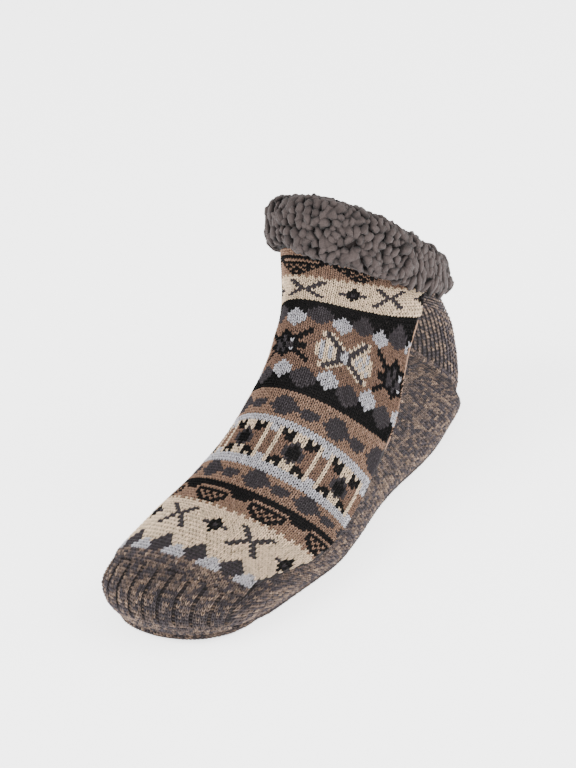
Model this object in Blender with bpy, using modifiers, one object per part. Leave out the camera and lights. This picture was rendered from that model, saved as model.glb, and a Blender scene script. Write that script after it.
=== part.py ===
"""A knitted slipper sock with a turned-down pile cuff, standing empty on its soft sole.

Metres, +Z up. The toe points to -Y and the heel to +Y. +X is the outer side of a left foot.
The origin lies under the middle of the sock, on the plane that it stands on.
"""

from collections import namedtuple
from itertools import pairwise

import bmesh
import bpy
import numpy as np
from mathutils import Matrix, Vector

# Driving sizes of the foot
LENGTH = 0.275
BALL_WIDTH = 0.103
HEEL_WIDTH = 0.074
INSTEP_HEIGHT = 0.082
FRONT_HEIGHT = 0.162
BACK_HEIGHT = 0.085

# Thickness of each layer, and the clearance between two of them
WALL = 0.003
SOLE = 0.0027
INSOLE = 0.004
PANEL = 0.0012
GAP = 0.0003

# The sole's shape underneath
TOE_SPRING = 0.003
ARCH = 0.0025
HEEL_SPRING = 0.0012
SOLE_MARGIN = 0.001
SOLE_ROUNDING = 0.0008
INSOLE_ROUNDING = 0.0015
INSOLE_EASE = 0.0015

# The patterned panel over the instep, and the toe ribs that continue it
PANEL_WIDTH = 0.130
RIBS = 10
RIB_HEIGHT = 0.0011

# The pile cuff: how far it stands off the knit, its lining inside and its rim above the collar
CUFF = 0.009
CUFF_LINING = 0.0045
CUFF_RIM = 0.005
CURL = 0.0011

# Cells of the loft, and how near two of its points are one
STEPS = 2
SIDE_CELLS = 10
PANEL_CELLS = 2 * RIBS
ACROSS = 4
CURLS_PER_CELL = 2
SAME_POINT = 1e-6

# The sections fan out from the toe's edge, over the foot and round the heel, up to the collar.
# base: where the section stands, as a share of LENGTH. back: its height there, of BACK_HEIGHT.
# crown: where its top lies, of LENGTH. instep: its height, of INSTEP_HEIGHT. shin: how much of
# the rest it climbs, up to FRONT_HEIGHT. ball, heel: shares of the two half widths that add up
# to its own. curve: how far it lies to the side, of half BALL_WIDTH. foot: the share of its half
# width that stands on the sole. widest: the height of its widest point, of its own height.
# low, top: how square its lower and upper quarters are. panel, turn: the panel's width along
# the section, of PANEL_WIDTH, and how far its middle is turned to the outer side, of half that.
Row = namedtuple(
    "Row", "base back crown instep shin ball heel curve foot widest low top panel turn"
)
SECTIONS = {
    "toe edge": Row(0.145, 0, 0.018, 0, 0, 0.785, 0, -0.125, 1.00, 0.02, 2.0, 2.3, 0.68, 0),
    "toe tip": Row(0.160, 0, 0.002, 0.14, 0, 0.865, 0, -0.125, 0.97, 0.16, 2.0, 2.3, 0.7, 0),
    "toe box": Row(0.185, 0, 0.008, 0.28, 0, 0.915, 0, -0.105, 0.93, 0.28, 2.1, 2.3, 0.74, 0),
    "toe line": Row(0.244, 0, 0.069, 0.42, 0, 0.970, 0, -0.070, 0.90, 0.34, 2.2, 2.2, 0.8, 0),
    "ball": Row(0.335, 0, 0.196, 0.54, 0, 1.000, 0, -0.010, 0.90, 0.33, 2.2, 2.1, 0.985, 0.08),
    "girth": Row(0.430, 0, 0.302, 0.68, 0, 0.60, 0.44, 0.050, 0.87, 0.32, 2.2, 2.0, 1, 0.09),
    "waist": Row(0.530, 0, 0.407, 0.84, 0, 0.28, 0.75, 0.070, 0.85, 0.30, 2.2, 2.0, 1, 0.09),
    "instep": Row(0.640, 0, 0.480, 1, 0, 0.08, 0.98, 0.070, 0.84, 0.29, 2.2, 2.0, 1.02, 0.1),
    "heel front": Row(0.750, 0, 0.530, 1, 0.14, 0, 1.06, 0.060, 0.83, 0.28, 2.2, 2.0, 1.03, 0.1),
    "heel": Row(0.850, 0, 0.564, 1, 0.27, 0, 1.04, 0.040, 0.74, 0.28, 2.1, 2.0, 1.03, 0.1),
    "heel turn": Row(0.932, 0, 0.587, 1, 0.36, 0, 1.01, 0.020, 0.55, 0.29, 2.0, 2.0, 1.05, 0.1),
    "sole end": Row(0.957, 0, 0.600, 1, 0.425, 0, 1.00, 0.010, 0, 0.31, 2.0, 2.0, 1.06, 0.11),
    "heel low": Row(0.989, 0.19, 0.614, 1, 0.49, 0, 1.00, 0, 0, 0.36, 2.0, 2.0, 1.08, 0.11),
    "heel back": Row(1.000, 0.46, 0.625, 1, 0.55, 0, 1.00, 0, 0, 0.42, 2.0, 2.0, 1.1, 0.12),
    "ankle": Row(0.987, 0.66, 0.636, 1, 0.61, 0, 0.99, 0, 0, 0.46, 2.0, 2.0, 1.12, 0.12),
    "cuff line": Row(0.969, 0.81, 0.649, 1, 0.69, 0, 0.99, 0, 0, 0.49, 2.0, 2.0, 1.13, 0.12),
    "collar": Row(0.950, 1, 0.687, 1, 1, 0, 1.02, 0, 0, 0.50, 2.0, 2.0, 1.15, 0.12),
}
NAMES = list(SECTIONS)
Section = namedtuple(
    "Section", "base_y back crown_y crown_z half curve foot widest low top panel turn"
)

# The cuff's section as a loop, from its lower edge over the rim and down inside the collar.
# down: how far below the collar, as a share of the way to the cuff line. up: above the collar,
# of CUFF_RIM. out: from the knit's outer face, of CUFF. inside: from its inner face, of
# CUFF_LINING. curl: the share of CURL that the pile stands up or sinks in by.
Point = namedtuple("Point", "down up out inside curl")
CUFF_SECTION = (
    Point(1.00, 0, 0, None, 0),
    Point(1.07, 0, 0.50, None, 0),
    Point(0.97, 0, 0.88, None, 0.8),
    Point(0.79, 0, 1.00, None, 1),
    Point(0.60, 0, 1.02, None, 1),
    Point(0.41, 0, 1.02, None, 1),
    Point(0.22, 0, 1.00, None, 1),
    Point(0.04, 0, 0.94, None, 1),
    Point(0, 0.62, 0.70, None, 1),
    Point(0, 1.00, 0.20, None, 0.8),
    Point(0, 0.90, None, 0.30, 0.6),
    Point(0, 0.35, None, 0.80, 0.6),
    Point(0.25, 0, None, 1.00, 0.6),
    Point(0.50, 0, None, 0.85, 0),
    Point(0.50, 0, None, 0, 0),
    Point(0, GAP / CUFF_RIM, None, 0, 0),
    Point(0, GAP / CUFF_RIM, 0, None, 0),
    Point(0.50, 0, 0, None, 0),
)

# How low the cuff hangs round the collar, from one back edge of the loft to the other: the share
# of its cells, and the share of the way to the cuff line that its outside reaches down
CUFF_DROP = (
    (0, 1.1), (0.12, 1.2), (0.22, 1.28), (0.40, 1.28), (0.44, 1.12),
    (0.50, 1), (0.55, 0.66), (0.68, 0.66), (0.85, 0.9), (1, 1.1),
)
CUFF_SPARE = 2


def clear_scene():
    for obj in list(bpy.data.objects):
        bpy.data.objects.remove(obj, do_unlink=True)


def material(name, color, roughness):
    """A plain material with one of the sock's colours."""
    made = bpy.data.materials.new(name)
    made.use_nodes = True
    shader = made.node_tree.nodes["Principled BSDF"]
    shader.inputs["Base Color"].default_value = (*color, 1)
    shader.inputs["Roughness"].default_value = roughness
    shader.inputs["Metallic"].default_value = 0
    made.diffuse_color = (*color, 1)
    return made


def add_part(name, mesh_data, finish, collection):
    """The named object of one sub-part, shaded smooth."""
    mesh = bpy.data.meshes.new(name)
    bmesh.ops.recalc_face_normals(mesh_data, faces=mesh_data.faces)
    mesh_data.to_mesh(mesh)
    mesh_data.free()
    mesh.materials.append(finish)
    mesh.shade_smooth()
    obj = bpy.data.objects.new(name, mesh)
    collection.objects.link(obj)
    return obj


def thicken(obj, thickness, side):
    """Gives an open sheet its wall, inwards for side -1 and outwards for side 1."""
    wall = obj.modifiers.new("wall", "SOLIDIFY")
    wall.thickness = thickness
    wall.offset = side
    wall.use_even_offset = True


def lift(y):
    """How far the sole's underside stands off the ground at y: toe spring, arch and heel."""
    share = y / LENGTH
    edge, tip = SECTIONS["toe edge"].base, SECTIONS["toe edge"].crown
    toe = TOE_SPRING * max(0.0, (edge - share) / (edge - tip))
    start, end = SECTIONS["girth"].base, SECTIONS["heel front"].base
    along = min(max((share - start) / (end - start), 0.0), 1.0)
    arch = ARCH * np.sin(np.pi * along) ** 2
    turn, last = SECTIONS["heel turn"].base, SECTIONS["sole end"].base
    heel = HEEL_SPRING * min(max((share - turn) / (last - turn), 0.0), 1.0)
    return toe + arch + heel


def seat(y):
    """The height of the knit's lower edge and of the insole's underside."""
    return SOLE + GAP + lift(y)


def measured(row):
    """A row of the table at its real size."""
    half = row.ball * BALL_WIDTH / 2 + row.heel * HEEL_WIDTH / 2
    crown_y = row.crown * LENGTH
    crown_z = seat(crown_y) + row.instep * (INSTEP_HEIGHT - seat(crown_y))
    crown_z += row.shin * (FRONT_HEIGHT - INSTEP_HEIGHT)
    curve = row.curve * BALL_WIDTH / 2
    sizes = (row.base * LENGTH, row.back, crown_y, crown_z, half, curve)
    panel = row.panel * PANEL_WIDTH / 2
    return Section(*sizes, row.foot, row.widest, row.low, row.top, panel, row.turn * PANEL_WIDTH / 2)


def smooth_rows(rows, steps):
    """The rows with steps - 1 more between each two, on a curve that never overshoots them."""
    values = np.array(rows, float)
    rises = np.diff(values, axis=0)
    slopes = np.zeros_like(values)
    before, after = rises[:-1], rises[1:]
    together = before * after > 0
    total = np.where(together, before + after, 1)
    slopes[1:-1] = np.where(together, 2 * before * after / total, 0)
    slopes[0], slopes[-1] = rises[0], rises[-1]
    made = []
    for index in range(len(values) - 1):
        for step in range(steps):
            t = step / steps
            start = (1 + 2 * t) * (1 - t) ** 2
            made.append(
                start * values[index]
                + (1 - start) * values[index + 1]
                + t * (1 - t) ** 2 * slopes[index]
                - t * t * (1 - t) * slopes[index + 1]
            )
    made.append(values[-1])
    return [Section(*row) for row in made]


def section_line(row, count=96):
    """A section as a fine line of points, from its outer base over the crown to its inner base."""
    angle = np.linspace(0, np.pi, count + 1)
    sine, cosine = np.sin(angle), np.abs(np.cos(angle))
    below = angle < np.pi / 2
    side = np.where(below, row.foot + (1 - row.foot) * sine ** (2 / row.low), sine ** (2 / row.top))
    low_height = row.widest * (1 - cosine ** (2 / row.low))
    top_height = row.widest + (1 - row.widest) * cosine ** (2 / row.top)
    height = np.where(below, low_height, top_height)
    side = np.concatenate([side, -side[-2::-1]])
    height = np.concatenate([height, height[-2::-1]])
    base_z = seat(row.base_y) + row.back * (BACK_HEIGHT - seat(row.base_y))
    along = row.base_y + (row.crown_y - row.base_y) * height
    up = base_z + (row.crown_z - base_z) * height
    return np.stack([row.curve + side * row.half, along, up], 1)


def place_columns(line, panel, turn):
    """Points along a section: even cells on each side, and even cells over the panel."""
    steps = np.linalg.norm(np.diff(line, axis=0), axis=1)
    along = np.concatenate([[0], np.cumsum(steps)])
    middle = along[len(line) // 2] - turn
    marks = np.concatenate(
        [
            np.linspace(0, middle - panel, SIDE_CELLS + 1)[:-1],
            np.linspace(middle - panel, middle + panel, PANEL_CELLS + 1),
            np.linspace(middle + panel, along[-1], SIDE_CELLS + 1)[1:],
        ]
    )
    return np.stack([np.interp(marks, along, line[:, axis]) for axis in range(3)], 1)


def foot_grid():
    """The knit's outer face as a grid of points, section by section, with its rows."""
    rows = smooth_rows([measured(row) for row in SECTIONS.values()], STEPS)
    return np.array([place_columns(section_line(row), row.panel, row.turn) for row in rows]), rows


def grid_mesh(grid, closed_from):
    """A sheet over a grid of points, facing out of the foot. Rows from closed_from on are rings."""
    sheet = bmesh.new()
    verts = []
    for index, row in enumerate(grid):
        made = [sheet.verts.new(point) for point in row]
        if index >= closed_from:
            sheet.verts.remove(made[-1])
            made[-1] = made[0]
        verts.append(made)
    for lower, upper in pairwise(verts):
        for column in range(len(lower) - 1):
            corners = [lower[column], upper[column], upper[column + 1], lower[column + 1]]
            sheet.faces.new(list(dict.fromkeys(corners)))
    return sheet, verts


def upper_sheet(grid, rows):
    """The knit's outer face as a sheet, the outward direction at each of its points, and the ribs."""
    closed_from = next(index for index, row in enumerate(rows) if row.foot < SAME_POINT)
    sheet, verts = grid_mesh(grid, closed_from)
    sheet.normal_update()
    outwards = np.array([[list(vert.normal) for vert in row] for row in verts])
    toe_line = NAMES.index("toe line") * STEPS
    for index in range(1, toe_line):
        height = RIB_HEIGHT * min(1.0, (toe_line - index) / STEPS)
        for column in range(SIDE_CELLS + 1, SIDE_CELLS + PANEL_CELLS, 2):
            vert = verts[index][column]
            vert.co += Vector(outwards[index][column]) * height
    return sheet, outwards


def make_upper(sheet, finish, collection):
    """The knitted foot: one hollow shell, open at the collar and over the sole."""
    upper = add_part("upper", sheet, finish, collection)
    thicken(upper, WALL, -1)
    return upper


def make_instep_panel(grid, outwards, finish, collection):
    """The patterned panel, cut from the face of the knit, from the toe line to under the cuff."""
    first = NAMES.index("toe line") * STEPS
    last = NAMES.index("cuff line") * STEPS + STEPS // 2
    columns = slice(SIDE_CELLS, SIDE_CELLS + PANEL_CELLS + 1)
    face = grid[first : last + 1, columns] + GAP * outwards[first : last + 1, columns]
    sheet, _ = grid_mesh(face, len(face))
    panel = add_part("instep_panel", sheet, finish, collection)
    thicken(panel, PANEL, 1)
    return panel


def cuff_ring(faces, outwards, drop, point, ring_index):
    """One ring of the cuff: the points that its section's point draws round the collar."""
    top, bottom = faces[-1], faces[CUFF_SPARE]
    steps = len(faces) - 1 - CUFF_SPARE
    down = point.down * (drop if point.inside is None else np.ones_like(drop))
    position = CUFF_SPARE + (1 - down) * steps
    lower = np.clip(np.floor(position), 0, len(faces) - 2).astype(int)
    share = (position - lower)[:, None]
    column = np.arange(len(top))
    base = faces[lower, column] * (1 - share) + faces[lower + 1, column] * share
    out = outwards[lower, column] * (1 - share) + outwards[lower + 1, column] * share
    out /= np.linalg.norm(out, axis=1, keepdims=True)
    upwards = top - bottom
    upwards /= np.linalg.norm(upwards, axis=1, keepdims=True)
    if point.out is not None:
        stand_off = PANEL + 2 * GAP
        offset = stand_off + point.out * (CUFF - stand_off)
        side = 1
    else:
        offset = -WALL - GAP - point.inside * (CUFF_LINING - GAP)
        side = -1
    on_curl = ((column + ring_index // 2) % 2 == 0) & (ring_index % 2 == 1)
    uneven = 0.75 + 0.25 * np.sin(2.4 * column + 1.7 * ring_index)
    offset = offset + side * point.curl * CURL * uneven * np.where(on_curl, 1, -0.3)
    return base + upwards * point.up * CUFF_RIM + out * offset[:, None]


def make_cuff(grid, outwards, finish, collection):
    """The pile cuff: turned down over the collar's outside, with its curls standing up."""
    first = NAMES.index("cuff line") * STEPS - CUFF_SPARE
    cells = grid.shape[1] - 1
    fine = np.arange(cells * CURLS_PER_CELL) / CURLS_PER_CELL
    drop = np.interp(fine / cells, *zip(*CUFF_DROP))
    left = fine.astype(int)
    share = (fine - left)[None, :, None]
    faces = grid[first:, left] * (1 - share) + grid[first:, left + 1] * share
    out = outwards[first:, left] * (1 - share) + outwards[first:, left + 1] * share
    section = enumerate(CUFF_SECTION)
    rings = [cuff_ring(faces, out, drop, point, index) for index, point in section]
    cuff = bmesh.new()
    verts = [[cuff.verts.new(point) for point in ring] for ring in rings]
    for ring, following in zip(verts, verts[1:] + verts[:1]):
        for column in range(len(ring)):
            after = (column + 1) % len(ring)
            cuff.faces.new([ring[column], ring[after], following[after], following[column]])
    return add_part("sherpa_cuff", cuff, finish, collection)


def sole_outline(grid, rows):
    """The knit's lower edge as two lines of points, from the toe's tip to the heel's end."""
    middle = SIDE_CELLS + PANEL_CELLS // 2
    half = PANEL_CELLS // 2
    ends = [index for index, row in enumerate(rows) if row.foot > SAME_POINT]
    ends.append(ends[-1] + 1)
    outer = [grid[0, middle - step] for step in range(half + 1)] + [grid[i, 0] for i in ends]
    inner = [grid[0, middle + step] for step in range(half + 1)] + [grid[i, -1] for i in ends]
    return np.array(outer), np.array(inner)


def offset_outline(outer, inner, distance):
    """The outline moved outwards by distance, in plan."""
    loop = np.concatenate([outer, inner[-2:0:-1]])[:, :2]
    ahead = np.roll(loop, -1, axis=0) - np.roll(loop, 1, axis=0)
    ahead /= np.linalg.norm(ahead, axis=1, keepdims=True)
    normal = np.stack([ahead[:, 1], -ahead[:, 0]], 1)
    moved = loop + normal * distance
    count = len(outer)
    inner_moved = np.concatenate([moved[:1], moved[: count - 2 : -1]])
    return moved[:count], inner_moved


def slab(outline, low, thickness):
    """A slab over the outline, whose underside follows the height that low gives at each y."""
    strips = []
    for outer, inner in zip(*outline):
        shares = np.linspace(0, 1, ACROSS + 1)[:, None]
        strip = outer + (inner - outer) * shares
        strips.append([(x, y, low(y)) for x, y in strip])
    sheet, _ = grid_mesh(strips, len(strips))
    bmesh.ops.remove_doubles(sheet, verts=sheet.verts, dist=SAME_POINT)
    grown = bmesh.ops.extrude_face_region(sheet, geom=sheet.faces[:])["geom"]
    top = [item for item in grown if isinstance(item, bmesh.types.BMVert)]
    bmesh.ops.translate(sheet, verts=top, vec=(0, 0, thickness))
    return sheet


def round_rim(obj, width):
    """Rounds the rim of a slab."""
    rounding = obj.modifiers.new("rounding", "BEVEL")
    rounding.width = width
    rounding.segments = 2
    rounding.limit_method = "ANGLE"
    rounding.angle_limit = np.radians(50)


def make_sole(outline, finish, collection):
    """The thin soft sole, flat at the forefoot and the heel."""
    shape = slab(offset_outline(*outline, SOLE_MARGIN), lift, SOLE)
    sole = add_part("sole", shape, finish, collection)
    round_rim(sole, SOLE_ROUNDING)
    return sole


def make_insole(outline, finish, collection):
    """The pile footbed, lying on the sole inside the knit."""
    shape = slab(offset_outline(*outline, -WALL - INSOLE_EASE), seat, INSOLE)
    insole = add_part("insole", shape, finish, collection)
    round_rim(insole, INSOLE_ROUNDING)
    return insole


def centre_on_origin(parts):
    """Moves the parts so that the origin lies under the middle of the whole sock."""
    graph = bpy.context.evaluated_depsgraph_get()
    finished = [part.evaluated_get(graph) for part in parts]
    points = np.array([list(vert.co) for part in finished for vert in part.data.vertices])
    middle = (points.min(axis=0) + points.max(axis=0)) / 2
    for part in parts:
        part.data.transform(Matrix.Translation((-middle[0], -middle[1], 0)))


def main():
    clear_scene()
    sock = bpy.data.collections.new("slipper_sock")
    bpy.context.scene.collection.children.link(sock)
    marl = material("marl_knit", (0.19, 0.15, 0.14), 0.95)
    patterned = material("patterned_knit", (0.42, 0.33, 0.26), 0.95)
    pile = material("grey_pile", (0.13, 0.11, 0.11), 1.0)
    felt = material("sole_felt", (0.05, 0.04, 0.04), 0.9)
    lining = material("lining_pile", (0.16, 0.14, 0.135), 1.0)
    grid, rows = foot_grid()
    sheet, outwards = upper_sheet(grid, rows)
    outline = sole_outline(grid, rows)
    parts = [
        make_upper(sheet, marl, sock),
        make_sole(outline, felt, sock),
        make_instep_panel(grid, outwards, patterned, sock),
        make_cuff(grid, outwards, pile, sock),
        make_insole(outline, lining, sock),
    ]
    centre_on_origin(parts)


main()
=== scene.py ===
"""The looks of a knitted slipper sock: real stitches, a curly pile cuff and its lining."""

from collections import namedtuple
from itertools import pairwise

import bmesh
import bpy
import numpy as np
from mathutils import Matrix, Vector


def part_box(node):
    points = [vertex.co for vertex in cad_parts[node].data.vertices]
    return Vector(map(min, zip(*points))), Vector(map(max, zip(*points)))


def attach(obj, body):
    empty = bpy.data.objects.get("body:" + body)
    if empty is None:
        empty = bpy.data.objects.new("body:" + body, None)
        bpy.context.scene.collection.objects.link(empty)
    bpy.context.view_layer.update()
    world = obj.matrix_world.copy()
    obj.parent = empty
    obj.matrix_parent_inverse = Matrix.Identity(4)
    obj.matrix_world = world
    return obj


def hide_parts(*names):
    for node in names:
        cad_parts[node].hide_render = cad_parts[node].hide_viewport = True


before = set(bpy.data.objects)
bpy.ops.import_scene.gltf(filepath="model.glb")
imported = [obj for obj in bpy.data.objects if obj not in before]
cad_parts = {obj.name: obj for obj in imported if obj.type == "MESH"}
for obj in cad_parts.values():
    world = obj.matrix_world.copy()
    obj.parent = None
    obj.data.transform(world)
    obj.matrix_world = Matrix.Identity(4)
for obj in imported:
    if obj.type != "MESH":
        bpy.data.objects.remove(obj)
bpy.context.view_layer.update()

# Driving sizes of the foot, as in the part's own source
LENGTH = 0.275
BALL_WIDTH = 0.103
HEEL_WIDTH = 0.074
INSTEP_HEIGHT = 0.082
FRONT_HEIGHT = 0.162
BACK_HEIGHT = 0.085
WALL = 0.003
SOLE = 0.0027
INSOLE = 0.004
PANEL = 0.0012
GAP = 0.0003
TOE_SPRING = 0.003
ARCH = 0.0025
HEEL_SPRING = 0.0012
PANEL_WIDTH = 0.130
RIB_HEIGHT = 0.0011
CUFF = 0.009
CUFF_LINING = 0.0045
CUFF_RIM = 0.005

# Rows of the loft that matter here, and the columns of its three stretches
TOE_LINE = 6
SOLE_END = 22
CUFF_LINE = 30
COLLAR = 32
PANEL_START, MIDDLE, PANEL_END, LAST_COLUMN = 10, 20, 30, 40
FINE_ROWS = 4
FINE_COLUMNS = 8
SECTION_STEPS = 192

# The knit: how wide a wale is and how high a course is, and the thickness of the yarn
WALE = 0.00235
COURSE = 0.0021
YARN = 0.00046
GROUND_SINK = 0.0004

# The hem that hides the sole's edge: its reach outwards, its top and its two wales
HEM_OUT = 0.0006
HEM_TOP = 0.0004
HEM_WALE = 0.0016
HEM_WALES = 2

# The ribbed toe: its ribs, its plain edge, and the purl grooves between two ribs
RIBS = 10
WALES_PER_RIB = 5
MARGIN_COURSES = 4
TOE_GROOVE = 0.0003
TOE_GROOVE_SHADE = 0.42

# The sides: the row where the heel's piece starts, the rows of the shaft's ribs and of the purl
# welt under the cuff, and how far the ribs stand up and the grooves sink
HEEL_START = 14
SHAFT_RIBS = 22.5
WELT = 27
SHAFT_RIB = 0.0004
SHAFT_GROOVE = 0.0007
SHAFT_GROOVE_SHADE = 0.6

# The panel's seam and its rolled edge, which rises between two rows
SEAM_RADIUS = 0.0006
SEAM_OUT = 0.0002
ROLL_RADIUS = 0.00055
ROLL_ROWS = (13.5, 25.5)
ROLL_OUT, ROLL_RISE = 0.0003, 0.0008

# The pile: how far apart its curls lie and how large they are, how deep the cloth lies under
# them, where the cuff gathers behind the ankle, and where pile can be seen inside
CURL_APART = 0.0033
CURL_SIZES = (0.0020, 0.0031)
CURL_SINK = (0.0006, 0.0022)
CLOTH_DEPTH = 0.0024
GATHER_COLUMN, GATHER_WIDTH, GATHER_RINGS = 10.5, 3.5, 24
LINING_APART = 0.0034
LINING_SIZES = (0.0021, 0.0029)
LINING_START = 13
LINING_TRIES = 30000
INSOLE_SEEN = -0.03

# The sole and the footbed: how far inside the knit's edge they end, and how much further back
# they reach over the heel's last stretch, into the corner of the knit
SOLE_INSET, SOLE_REACH = -0.0009, 0.0015
INSOLE_INSET, INSOLE_REACH = 0.0012, 0.0025
HEEL_STRETCH = 0.006
SOLE_ACROSS = 29
EDGE_WIDTH = 0.003
SOLE_EDGE, INSOLE_EDGE = 0.0008, 0.001
PILE_HEIGHT = 0.0012

# The sections that the foot is lofted through, from the toe's edge to the collar
Row = namedtuple(
    "Row", "base back crown instep shin ball heel curve foot widest low top panel turn"
)
SECTIONS = [Row(*values) for values in (
    (0.145, 0, 0.018, 0, 0, 0.785, 0, -0.125, 1.00, 0.02, 2.0, 2.3, 0.68, 0),
    (0.160, 0, 0.002, 0.14, 0, 0.865, 0, -0.125, 0.97, 0.16, 2.0, 2.3, 0.7, 0),
    (0.185, 0, 0.008, 0.28, 0, 0.915, 0, -0.105, 0.93, 0.28, 2.1, 2.3, 0.74, 0),
    (0.244, 0, 0.069, 0.42, 0, 0.970, 0, -0.070, 0.90, 0.34, 2.2, 2.2, 0.8, 0),
    (0.335, 0, 0.196, 0.54, 0, 1.000, 0, -0.010, 0.90, 0.33, 2.2, 2.1, 0.985, 0.08),
    (0.430, 0, 0.302, 0.68, 0, 0.60, 0.44, 0.050, 0.87, 0.32, 2.2, 2.0, 1, 0.09),
    (0.530, 0, 0.407, 0.84, 0, 0.28, 0.75, 0.070, 0.85, 0.30, 2.2, 2.0, 1, 0.09),
    (0.640, 0, 0.480, 1, 0, 0.08, 0.98, 0.070, 0.84, 0.29, 2.2, 2.0, 1.02, 0.1),
    (0.750, 0, 0.530, 1, 0.14, 0, 1.06, 0.060, 0.83, 0.28, 2.2, 2.0, 1.03, 0.1),
    (0.850, 0, 0.564, 1, 0.27, 0, 1.04, 0.040, 0.74, 0.28, 2.1, 2.0, 1.03, 0.1),
    (0.932, 0, 0.587, 1, 0.36, 0, 1.01, 0.020, 0.55, 0.29, 2.0, 2.0, 1.05, 0.1),
    (0.957, 0, 0.600, 1, 0.425, 0, 1.00, 0.010, 0, 0.31, 2.0, 2.0, 1.06, 0.11),
    (0.989, 0.19, 0.614, 1, 0.49, 0, 1.00, 0, 0, 0.36, 2.0, 2.0, 1.08, 0.11),
    (1.000, 0.46, 0.625, 1, 0.55, 0, 1.00, 0, 0, 0.42, 2.0, 2.0, 1.1, 0.12),
    (0.987, 0.66, 0.636, 1, 0.61, 0, 0.99, 0, 0, 0.46, 2.0, 2.0, 1.12, 0.12),
    (0.969, 0.81, 0.649, 1, 0.69, 0, 0.99, 0, 0, 0.49, 2.0, 2.0, 1.13, 0.12),
    (0.950, 1, 0.687, 1, 1, 0, 1.02, 0, 0, 0.50, 2.0, 2.0, 1.15, 0.12),
)]
Section = namedtuple(
    "Section", "base_y back crown_y crown_z half curve foot widest low top panel turn"
)

# The yarns, as the photograph shows them in daylight
YARNS = {
    "k": (4, 4, 4),
    "d": (66, 61, 64),
    "g": (200, 197, 203),
    "c": (243, 216, 184),
    "t": (150, 120, 101),
    "b": (131, 103, 87),
}
MARL_DARK = (76, 70, 73)
MARL_TAN = (158, 134, 116)
# The knit's ground is painted shade: near black, where the depth between the stitches lies in
# shadow
GROUND_PAINTED_SHADE_DARK = (14, 11, 11)
GROUND_PAINTED_SHADE_LIGHT = (34, 28, 27)
PILE = (72, 63, 61)
# The pile's dark colour deep between its curls is painted shade
PILE_PAINTED_SHADE = (7, 5, 5)
SEAM = (30, 25, 25)
FELT = (58, 52, 52)

# The instep pattern's charts, from the collar's side down to the toe's: one letter is a stitch,
# and an m is marl
LATTICE = (
    "kkkkkkkkkkkkkkk",
    "kktttttttttttkk",
    "tkkkkkkkkkkkkkt",
    "ttktktktktktktt",
    "tttkkktktkkkttt",
    "ttttktkkktktttt",
    "tttttkktkkttttt",
    "ttttttkkktttttt",
    "tctctctctctctct",
)
HEAVY_LATTICE = (
    "kkkkkkkkkkkkkkk",
    "kkkkkkkkkkkkkkk",
    "kkktttttttttkkk",
    "kktkkkkkkkkktkk",
    "tttktktktktkttt",
    "tttkktktktkkttt",
    "ttttkktktkktttt",
    "tttttkkkkkttttt",
    "tctctctctctctct",
)
HALF_DIAMOND_AND_CROSS = (
    "ccccccccccccccccccccc",
    "cccccccccccddcccccddc",
    "cccckcccccccddcccddcc",
    "ccckkkcccccccddcddccc",
)
DIAMOND_AND_CROSS = (
    HALF_DIAMOND_AND_CROSS + ("cddkdkddccccccdddcccc",) + HALF_DIAMOND_AND_CROSS[::-1]
)
PEAKS = (
    "kkkkkkkkkkk",
    "kkkkkkkkkkk",
    "kkkkkddkkkk",
    "kkkkddddkkk",
    "gkkddddddkk",
    "ggkddddddkg",
    "gggddddddgg",
    "gggbddddbgg",
    "gggbbddbbgg",
    "ggbbbbbbbbg",
    "gbbbbbbbbbb",
)
HALF_STAR_AND_FLAKE = (
    "bkbbbbbbbbbbbkb" + "bcdcbbbbbbbcdcb",
    "bkkbbbbkbbbbkkb" + "bcddcbbbbbcddcb",
    "bbkkbbkkkbbkkbb" + "bbcddcbbbcddcbb",
    "bbbkkkkdkkkkbbb" + "bgccddcbcddccgb",
    "bbbbkgkdkdkbbbb" + "cgcgcddgddcgcgc",
    "bbkkkddkddkkkbb" + "ccgcgcdggdcgcgc",
)
STAR_AND_FLAKE = HALF_STAR_AND_FLAKE + HALF_STAR_AND_FLAKE[::-1]
OVALS = (
    "ttttttttttttt",
    "ttttttttttttt",
    "ttdddtttttttt",
    "tdddddttttttt",
    "ddddddttddddt",
    "dddddddtddddd",
    "tdddddtttdddt",
    "ttdddtttttttt",
    "ttttttttttttt",
)
HALF_FLOWER = (
    "kckccckckcggc",
    "kkkccckkkcggc",
    "bkkcdckkbcbbc",
    "bbbdkdbbbcbbc",
    "bbdkkkdbbcbbc",
)
FLOWER = HALF_FLOWER + ("bbdkkkdbbcbbc",) + HALF_FLOWER[::-1]
TOE_PEAKS = (
    "cccccccccc",
    "ccccddcccc",
    "cccddddccc",
    "gcddddddcg",
    "ggddddddgg",
    "gggddddggg",
    "gggmddmggg",
)

# The bands from the collar down: the chart, the letter in its lines where a motif's middle
# lies, and that middle's distance from the panel's, in millimetres towards the big toe
Band = namedtuple("Band", "lines middle at")
BANDS = [Band(*values) for values in (
    (("t",) * 3, 0, 0),
    (LATTICE, 7, 12),
    (DIAMOND_AND_CROSS, 4, -20),
    (("c",), 0, 0),
    (PEAKS, 0, -19),
    (STAR_AND_FLAKE, 7, 12),
    (PEAKS[::-1], 0, -16),
    (OVALS, 3, -30),
    (("g",) * 2, 0, 0),
    (FLOWER, 4, -16.3),
    (("g",) * 3, 0, 0),
    (OVALS[2:], 3, -8),
    (HEAVY_LATTICE, 7, -22.5),
    (("c",), 0, 0),
    (DIAMOND_AND_CROSS, 4, -5.5),
    (TOE_PEAKS, 0, -22),
    (("m",) * 4, 0, 0),
)]
COURSES = sum(len(band.lines) for band in BANDS)
PLAIN_COURSES = len(BANDS[-1].lines)

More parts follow.
